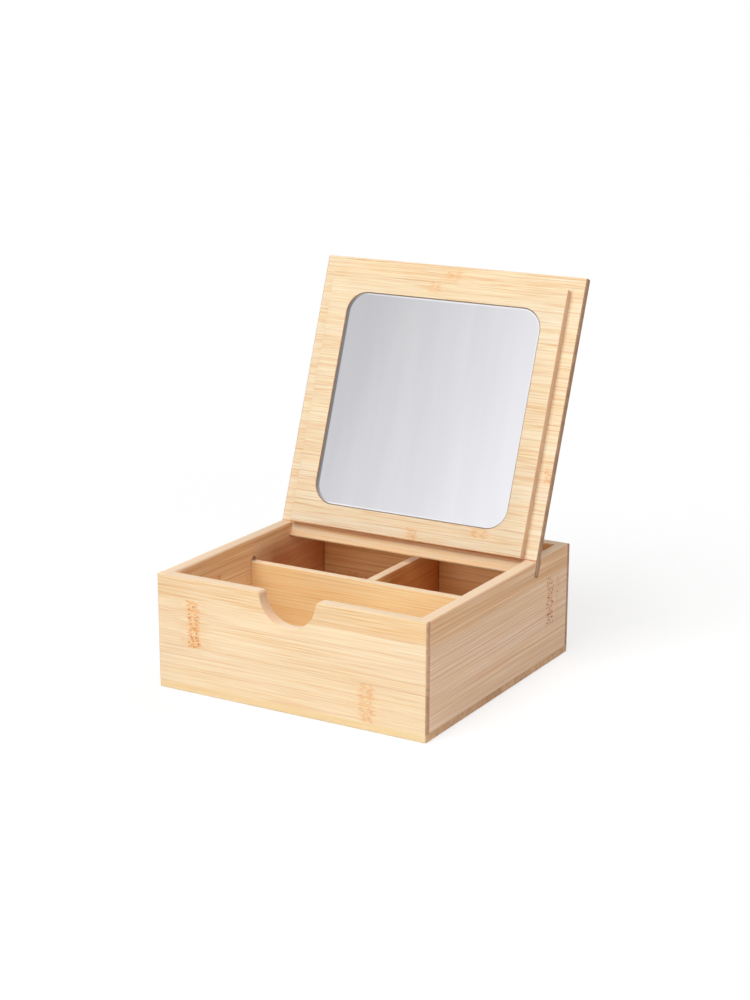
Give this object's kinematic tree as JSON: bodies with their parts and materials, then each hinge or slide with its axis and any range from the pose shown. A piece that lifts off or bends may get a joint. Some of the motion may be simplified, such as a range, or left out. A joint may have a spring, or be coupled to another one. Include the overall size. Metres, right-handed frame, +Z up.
{
  "type": "vanity box with mirror",
  "caption": "Square bamboo vanity box with compartments, a finger notch and a lift-off lid that stands in slanted slots as a leaning mirror.",
  "frame": {"origin": "middle of the underside of the bottom board, on the surface that the box stands on", "axes": "+Z up, -Y towards the user (the wall with the finger notch), +X to the user's right; the standing lid leans back towards +Y"},
  "size_m": [0.185, 0.2025, 0.2368],
  "materials": {
    "bamboo_wall": "satin clear lacquer on natural bamboo",
    "bamboo_base": "satin clear lacquer on natural bamboo",
    "bamboo_inside": "satin clear lacquer on natural bamboo",
    "bamboo_lid": "satin clear lacquer on natural bamboo",
    "silvered_glass": "silvered float glass with a ground edge",
    "foam_tape": "matt closed-cell foam"
  },
  "bodies": {
    "box": {"base_panel": "bamboo_base", "front_wall": "bamboo_wall", "rear_wall": "bamboo_wall", "left_wall": "bamboo_wall", "right_wall": "bamboo_wall", "long_divider": "bamboo_inside", "short_divider": "bamboo_inside"},
    "lid": {"lid_board": "bamboo_lid", "mirror_plate": "silvered_glass", "mirror_tape": "foam_tape"}
  },
  "joints": [
    {"name": "lid_lift", "type": "slide", "parent": "box", "child": "lid", "axis": [0, 0.342, 0.9397], "range_m": [0, 0.04]}
  ]
}
